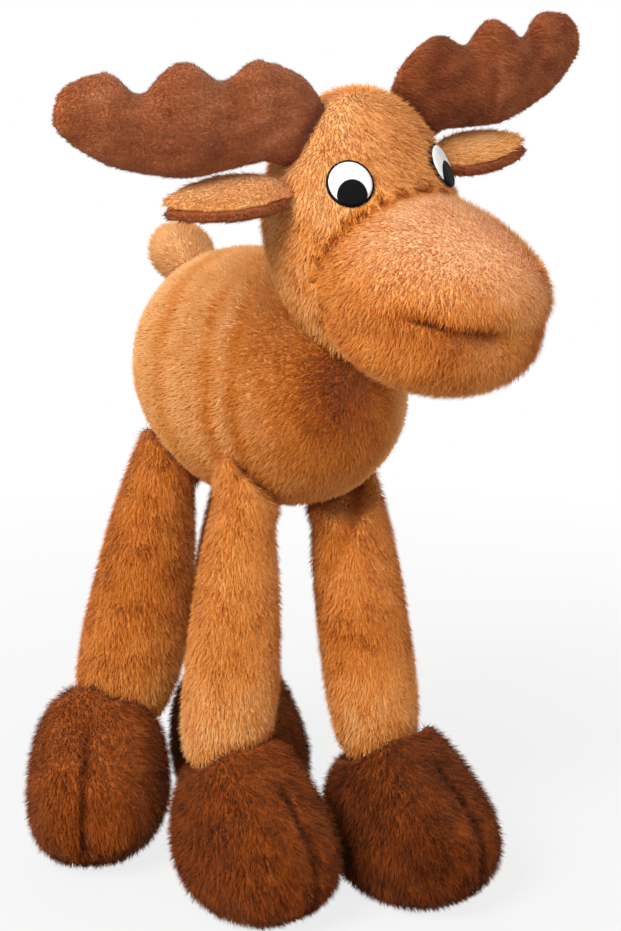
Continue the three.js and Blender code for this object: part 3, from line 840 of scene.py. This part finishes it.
def limb_pieces(tree, fibre, limb, seed):
    leg_node, hoof_node, sole_node = f"leg_{limb}", f"hoof_{limb}", f"hoof_sole_{limb}"
    leg_fuller, hoof_fuller = FULLER[limb]

    def fold(points):
        return along_line(points, LEG_FOLD, reach=6)[0] if limb == "front_left" else np.zeros(len(points))

    def leg_shade(points, normals, lay, shade, cover, height):
        """Lighter below, with painted shade in the fold, where the pile is also shorter."""
        shade = shade + 0.16 * clamped((135 - points[:, 2] / MM) / 50) - 0.34 * fold(points) ** 1.5
        return lay, shade, cover, height * (1 - 0.3 * fold(points))

    def leg_shape(points, normals):
        seated = near_to(points, ["torso"], reach=7)
        low = clamped((190 - points[:, 2] / MM) / 70)
        return fold(points) * 3 - 5 * seated - leg_fuller * low * clamped(normals @ FULLER_WAY)

    leg = skin(f"{leg_node}_skin", [leg_node], leg_node, COAT, voxel=3.6, draw_in=2.0, shape=leg_shape)
    groomed(leg, along_way(0, 0, -1), tone=LEG_TONES_AND_LIGHT[limb], seed=seed, covered_by=[hoof_node],
            crease_by=["torso", hoof_node], crease=4, extra=leg_shade)
    grow(f"{leg_node}_pile", leg, leg_node, COAT, tree, fibre, Seed=seed)

    middle, across, forward = toe_frame(limb)

    def toe_line(points):
        """How near a point is to the stitched line down the front of the toe."""
        aside = np.abs((points - middle) @ across) / MM
        ahead = (points - middle) @ forward / MM
        height = points[:, 2] / MM
        return clamped(1 - aside / 3) * clamped((ahead - 14) / 12) * clamped((height - 14) / 6)

    def hoof_shape(points, normals):
        high = clamped((points[:, 2] / MM - 6) / 24)
        return 2.4 * toe_line(points) - hoof_fuller * high * clamped(normals @ FULLER_WAY)

    hoof = skin(f"{hoof_node}_skin", [hoof_node, sole_node], hoof_node, HOOF, voxel=3.4, draw_in=2.8,
                shape=hoof_shape, floor=0.6)
    crown = middle + np.array((0, 0, 0.035)) - forward * 0.02

    def stitched_and_shaded(points, normals, lay, shade, cover, height):
        """Painted shade in the groove of the toe's line, darker on the sole's seam, with sparse pile under
        the sole.
        """
        line = toe_line(points)
        seam = clamped(1 - np.abs(points[:, 2] / MM - 5) / 2.5)
        off_floor = clamped((points[:, 2] / MM - 1.2) / 1.5)
        shade = shade + 0.07 * wavy(points, size=13, seed=seed + 30)
        shade = shade - 0.4 * line - 0.15 * seam
        return lay, shade, cover * (0.25 + 0.75 * off_floor), height * (1 - 0.45 * line)

    groomed(hoof, lambda p, n: (p - crown) * (1, 1, 0.6) + np.array((0, 0, -0.02)), tone=HOOF_TONES_AND_LIGHT[limb],
            seed=seed + 10, covered_by=[leg_node], extra=stitched_and_shaded)
    grow(f"{hoof_node}_pile", hoof, hoof_node, HOOF, tree, fibre, Seed=seed + 10, **HOOF_PILE)


# The mouth's crease, to where it is pulled in deepest, and the seam over the muzzle
MOUTH_LINE = ((-39, -158, 314), (-29, -171, 309), (-22, -178, 306), (-12, -183, 303.5), (4, -185, 301))
MUZZLE_SEAM = ((0, -138, 355), (-3, -150, 349), (-2, -159, 344), (2, -168, 339), (9, -179, 329))
# The places round the mouth with darker pile, as painted shade: place, size and change of tone
MUZZLE_PAINTED_SHADE = (((-0.009, -0.181, 0.323), 0.018, -0.13), ((-0.006, -0.176, 0.29), 0.024, -0.2),
                ((0.03, -0.17, 0.288), 0.02, -0.16))
# Round the deepest place the pile fans out, as far as this, and not above it
FAN_REACH = 0.026
FAN_TOP = 0.004


def outside_ovals(points, ovals):
    """How far places lie outside the rim of the nearest of these ovals, in millimetres."""
    result = np.full(len(points), 99.0)
    for middle, sideways, upward, outward, (wide, high, _) in ovals:
        away = points - middle
        reach = np.hypot(away @ sideways / wide, away @ upward / high)
        beside = (reach - 1) * min(wide, high) / MM
        result = np.where(np.abs(away @ outward) < 12 * MM, np.minimum(result, beside), result)
    return result


def face(tree, fibre):
    """The head with its muzzle and chin: one stuffed shape, parted along the seam round the muzzle."""
    nodes = ["head", "muzzle", "chin"]
    whole = filled(evened("face", nodes, voxel=3.0, smooth=2), reach=9, voxel=2.6)
    points = numbers(whole.data.vertices, "co")
    off_head, off_muzzle, off_chin = (distance_to(points, [n]) / MM for n in nodes)
    nose = np.minimum(off_muzzle, off_chin)
    seam = clamped(1 - np.abs(off_head - nose) / 5) * clamped(2 - np.maximum(off_head, nose) / 5)
    mouth, share = along_line(points, MOUTH_LINE, reach=9)
    mouth *= clamped(0.55 + share / 0.5)
    pinch = along_line(points, MOUTH_LINE[-2:], reach=13)[0] ** 2
    seated = near_to(points, ["torso"], reach=8)
    drawn_in(whole, 2.6 + 2.4 * seam + 6 * mouth ** 3 + 3.5 * pinch - 5.5 * seated)
    relaxed(whole.data, rounds=1, share=0.4)
    keep_attribute(whole.data, "seam", "FLOAT", seam)
    keep_attribute(whole.data, "mouth", "FLOAT", mouth)
    centres = numbers(whole.data.polygons, "center")
    on_nose = distance_to(centres, ["muzzle", "chin"]) < distance_to(centres, ["head"])
    head = parted(whole, "head_skin", ~on_nose)
    muzzle = parted(whole, "muzzle_skin", on_nose)
    bpy.data.objects.remove(whole)
    sewn(head, "head", COAT, ["head"])
    sewn(muzzle, "head", PALE, ["muzzle", "chin"])
    eyes = [oval_frame([f"eye_white_{side}", f"eye_pupil_{side}"]) for side in SIDES]

    def seamed(piece):
        """Painted shade in the seam's and the mouth's furrows, where the pile is shorter, with no pile on
        the eyes or on the inner hub.
        """
        def extra(points, normals, lay, shade, cover, height):
            line, lips = kept_attribute(piece.data, "seam"), kept_attribute(piece.data, "mouth")
            cover = cover * clamped(outside_ovals(points, eyes) + 0.3)
            cover[-1] = 0
            shade = shade - 0.55 * line ** 1.3 - 0.8 * lips ** 3 - 0.1 * lips
            return lay, shade, cover, height * (1 - 0.4 * line - 0.5 * lips ** 2)
        return extra

    groomed(head, along_way(0.1, 0.25, -1.0), tone=0.67, seed=50, crease_by=["torso"], extra=seamed(head))
    grow("head_pile", head, "head", COAT, tree, fibre, Seed=50, **HEAD_PILE)

    def muzzle_nap(points, normals):
        """Back and aside over the top and sides, and down round the mouth."""
        down = (along_line(points, MOUTH_LINE, reach=40)[0] ** 0.7)[:, None]
        return np.array((-0.6, 0.55, -0.55)) * (1 - down) + np.array((-0.1, -0.1, -1.0)) * down

    def muzzle_shade(points, normals, lay, shade, cover, height):
        """Painted shade aside, below, round the mouth and in the seam's furrow, darker on the seam over the
        muzzle, with the pile fanned out round the pinch.
        """
        lay, shade, cover, height = seamed(muzzle)(points, normals, lay, shade, cover, height)
        for place, size, change in MUZZLE_PAINTED_SHADE:
            away = np.linalg.norm(points - np.array(TRUNK) - np.array(place), axis=1)
            shade = shade + change * np.exp(-(away / size) ** 2)
        # Painted shade on the muzzle's sides and underside
        aside = clamped(np.abs(normals[:, 0])) * clamped(1 - normals[:, 2])
        shade = shade - 0.32 * aside - 0.04 * clamped(-normals[:, 2])
        shade = shade - 0.16 * along_line(points, MUZZLE_SEAM, reach=2)[0]
        pinch = np.array(MOUTH_LINE[-1]) * MM + np.array(TRUNK)
        away = points - pinch
        fan = np.exp(-(np.linalg.norm(away, axis=1) / FAN_REACH) ** 2) * (away[:, 2] < FAN_TOP)
        away = away - normals * (away * normals).sum(1)[:, None]
        away /= np.maximum(np.linalg.norm(away, axis=1), 1e-6)[:, None]
        lay = lay * (1 - fan)[:, None] + away * fan[:, None]
        return lay, shade, cover, height

    groomed(muzzle, muzzle_nap, tone=0.74, seed=51, extra=muzzle_shade)
    grow("muzzle_pile", muzzle, "head", PALE, tree, fibre, Seed=51, **MUZZLE_PILE)


# Painted shade in the antlers' creases and dents and at the left one's root, and a painted highlight along
# one crease: sideways and upward place, sizes and change of tone
ANTLER_LIGHT_AND_SHADE = {
    "right": ((-84, 379, 9, 8, -0.14), (-74, 400, 3, 14, -0.1), (-106, 404, 3, 12, -0.1)),
    "left": ((36, 400, 16, 30, -0.16), (56, 384, 16, 12, -0.1), (78, 398, 2.2, 20, 0.16),
             (73, 400, 3, 18, -0.1), (104, 420, 3, 12, -0.1)),
}
# How light each antler is, with the right one painted lighter as the lit one
ANTLER_TONES_AND_LIGHT = {"right": 0.53, "left": 0.46}
OUTWARD = {"right": -1, "left": 1}


def antler_pieces(tree, fibre, side, seed):
    node = f"antler_{side}"
    antler = skin(f"{node}_skin", [node], node, ANTLER, voxel=2.2, draw_in=1.0, root=("head", 7))

    # Mottled at random, with the painted light and shade of the antler's creases
    def mottled_and_shaded(points, normals, lay, shade, cover, height):
        out = (points - np.array(TRUNK))[:, (0, 2)] / MM
        shade = shade + 0.05 * wavy(points, size=11, seed=seed + 3)
        shade = shade + 0.05 * wavy(points * (0.4, 1, 1), size=7, seed=seed + 4)
        for x, z, wide, tall, change in ANTLER_LIGHT_AND_SHADE[side]:
            shade = shade + change * np.exp(-((out[:, 0] - x) / wide) ** 2 - ((out[:, 1] - z) / tall) ** 2)
        return lay, shade, cover, height

    groomed(antler, along_way(OUTWARD[side], 0, -0.25), tone=ANTLER_TONES_AND_LIGHT[side], seed=seed,
            crease_by=["head"], extra=mottled_and_shaded)
    grow(f"{node}_pile", antler, node, ANTLER, tree, fibre, Seed=seed, **ANTLER_PILE)


def ear_pieces(tree, fibre, side, seed):
    nap = along_way(OUTWARD[side], 0, -0.2)
    leaf_node, lining_node = f"ear_{side}", f"ear_lining_{side}"
    leaf = skin(f"{leaf_node}_skin", [leaf_node], leaf_node, COAT, voxel=1.5, draw_in=0.8, smooth=2,
                shape=lambda p, n: -1.2 * near_to(p, [lining_node], reach=2), root=("head", 5, 5))
    groomed(leaf, nap, tone=0.72, seed=seed, covered_by=[lining_node], crease_by=["head", lining_node],
            crease=3, crease_depth=0.16)
    grow(f"{leaf_node}_pile", leaf, leaf_node, COAT, tree, fibre, Seed=seed, **EAR_PILE)
    lining = skin(f"{lining_node}_skin", [lining_node], leaf_node, LINING, voxel=1.3, draw_in=0.3,
                  smooth=2, shape=lambda p, n: -0.8 * near_to(p, [leaf_node], reach=2))
    groomed(lining, nap, tone=0.42, seed=seed + 5, covered_by=[leaf_node])
    grow(f"{lining_node}_pile", lining, leaf_node, LINING, tree, fibre, Seed=seed + 5, **LINING_PILE)


# Eyes

# A stitched patch is this many rings of this many points, and its rim lies this much lower than its middle
RINGS = 9
RIM_POINTS = 48
RIM_DROP = 0.5
# The width of the threads' map, that of the outline's rim, and where the head is looked for from
MAP_WIDTH = 0.03
RIM_WIDTH = 1.0 * MM
ABOVE_HEAD = 0.02


def thread_finish(name, colour, shade, lines):
    """Satin stitch: close parallel threads across the map."""
    material, tree = finish_tree(name)
    place = Strand.node(tree, "ShaderNodeTexCoord", output="UV")
    threads = Strand.node(tree, "ShaderNodeTexWave", {"wave_type": "BANDS", "bands_direction": "X"}, {
        "Vector": place, "Scale": lines, "Distortion": 1.2, "Detail": 1.0, "Detail Scale": 2.0}, "Fac")
    dye = Strand.node(tree, "ShaderNodeValToRGB", {"stops": [(0.0, shade), (0.55, colour), (1.0, colour)]},
                      {0: threads})
    bump = Strand.node(tree, "ShaderNodeBump", {}, {"Strength": 0.5, "Distance": 0.0003, "Height": threads})
    shader = Strand.node(tree, "ShaderNodeBsdfPrincipled", {}, {
        "Base Color": dye, "Roughness": 0.65, "Specular IOR Level": 0.1, "Normal": bump})
    surfaced(tree, shader)
    return material


def oval_frame(nodes):
    """The middle of flat CAD nodes, their sideways, upward and outward axes, and their half sizes."""
    points = np.concatenate([numbers(frame["nodes"][n].data.vertices, "co") for n in nodes])
    middle = (points.min(0) + points.max(0)) / 2
    _, _, axes = np.linalg.svd(points - points.mean(0), full_matrices=False)
    upward, sideways, outward = axes
    outward = outward * np.sign(outward @ (middle - box_middle("head")))
    upward = upward * np.sign(upward[2])
    sideways = np.cross(upward, outward)
    axes = sideways, upward, outward
    spread = [(points - middle) @ axis for axis in axes]
    middle = middle + sum(axis * (d.max() + d.min()) / 2 for axis, d in zip(axes, spread))
    halves = [(d.max() - d.min()) / 2 for d in spread]
    return middle, sideways, upward, outward, halves


def on_head(place, outward):
    """The point of the head's CAD surface under a place beside it."""
    start = Vector(place + outward * ABOVE_HEAD)
    hit = solid("head").ray_cast(start, Vector(-outward))[0] or solid("head").find_nearest(Vector(place))[0]
    return np.array(hit)


def embroidered(name, outline, lift, sink, material, node):
    """A stitched patch on the face: outline gives its rim as places beside the head, its middle and the way
    that it faces. Its middle stands off the head and its base lies in it, by a lift and a sink."""
    rim, middle, outward = outline
    work = bmesh.new()
    uv = work.loops.layers.uv.new("UVMap")
    flat = {}

    def put(across, height):
        vert = work.verts.new(on_head(middle + across, outward) + outward * height * MM)
        flat[vert] = across
        return vert

    layers = [[put(point - middle, -sink) for point in rim]]
    for share in (ring / RINGS for ring in range(RINGS, 0, -1)):
        dome = lift - RIM_DROP * (1 - math.sqrt(max(0, 1 - share ** 4)))
        layers.append([put((point - middle) * share, dome) for point in rim])
    top, bottom = put(middle * 0, lift), put(middle * 0, -sink)
    beside = [(i, (i + 1) % len(rim)) for i in range(len(rim))]
    for first, second in zip(layers, layers[1:]):
        for i, j in beside:
            work.faces.new((first[i], first[j], second[j], second[i]))
    for i, j in beside:
        work.faces.new((layers[-1][i], layers[-1][j], top))
        work.faces.new((layers[0][j], layers[0][i], bottom))
    side_axis = (rim[0] - middle) / np.linalg.norm(rim[0] - middle)
    up_axis = np.cross(outward, side_axis)
    for face in work.faces:
        face.smooth = True
        for loop in face.loops:
            loop[uv].uv = [0.5 + float(flat[loop.vert] @ axis) / MAP_WIDTH for axis in (side_axis, up_axis)]
    bmesh.ops.recalc_face_normals(work, faces=work.faces)
    mesh = bpy.data.meshes.new(name)
    work.to_mesh(mesh)
    work.free()
    mesh.materials.append(material)
    obj = placed(name, mesh)
    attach(obj, "head")
    if node:
        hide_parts(node)
    return obj


def eye_pieces(side, white, black, dark):
    middle, sideways, upward, outward, (half_width, half_height, _) = oval_frame(
        [f"eye_white_{side}", f"eye_pupil_{side}"])
    turns = np.linspace(0, 2 * math.pi, RIM_POINTS, endpoint=False)

    def oval(wide, high, at=middle):
        return [at + sideways * math.cos(t) * wide + upward * math.sin(t) * high for t in turns]

    embroidered(f"eye_outline_{side}", (oval(half_width, half_height), middle, outward),
                lift=-0.7, sink=3.6, material=dark, node=None)
    embroidered(f"eye_oval_{side}", (oval(half_width - RIM_WIDTH, half_height - RIM_WIDTH), middle, outward),
                lift=0.0, sink=2.6, material=white, node=f"eye_white_{side}")
    pupil_middle, _, _, _, (pupil_half, _, _) = oval_frame([f"eye_pupil_{side}"])
    inside = []
    for point in oval(pupil_half, pupil_half, pupil_middle):
        x, y = (point - middle) @ sideways, (point - middle) @ upward
        reach = math.hypot(x / (half_width - RIM_WIDTH / 2), y / (half_height - RIM_WIDTH / 2))
        inside.append(point if reach <= 1 else middle + (sideways * x + upward * y) / reach)
    embroidered(f"pupil_{side}", (inside, pupil_middle, outward),
                lift=0.3, sink=1.6, material=black, node=f"eye_pupil_{side}")


def main():
    studio()
    white_floor()
    tree = pile_tree()
    fibre = fibre_template()
    trunk(tree, fibre)
    for i, limb in enumerate(LIMBS):
        limb_pieces(tree, fibre, limb, seed=20 + i)
    face(tree, fibre)
    for i, side in enumerate(SIDES):
        antler_pieces(tree, fibre, side, seed=60 + i)
        ear_pieces(tree, fibre, side, seed=70 + i)
    white = thread_finish("white_satin_stitch", srgb(252, 252, 252), srgb(214, 214, 218), lines=22)
    black = thread_finish("black_satin_stitch", srgb(8, 7, 8), srgb(2, 2, 2), lines=24)
    dark = thread_finish("outline_stitch", srgb(20, 14, 32), srgb(8, 6, 12), lines=40)
    for side in SIDES:
        eye_pieces(side, white, black, dark)


main()
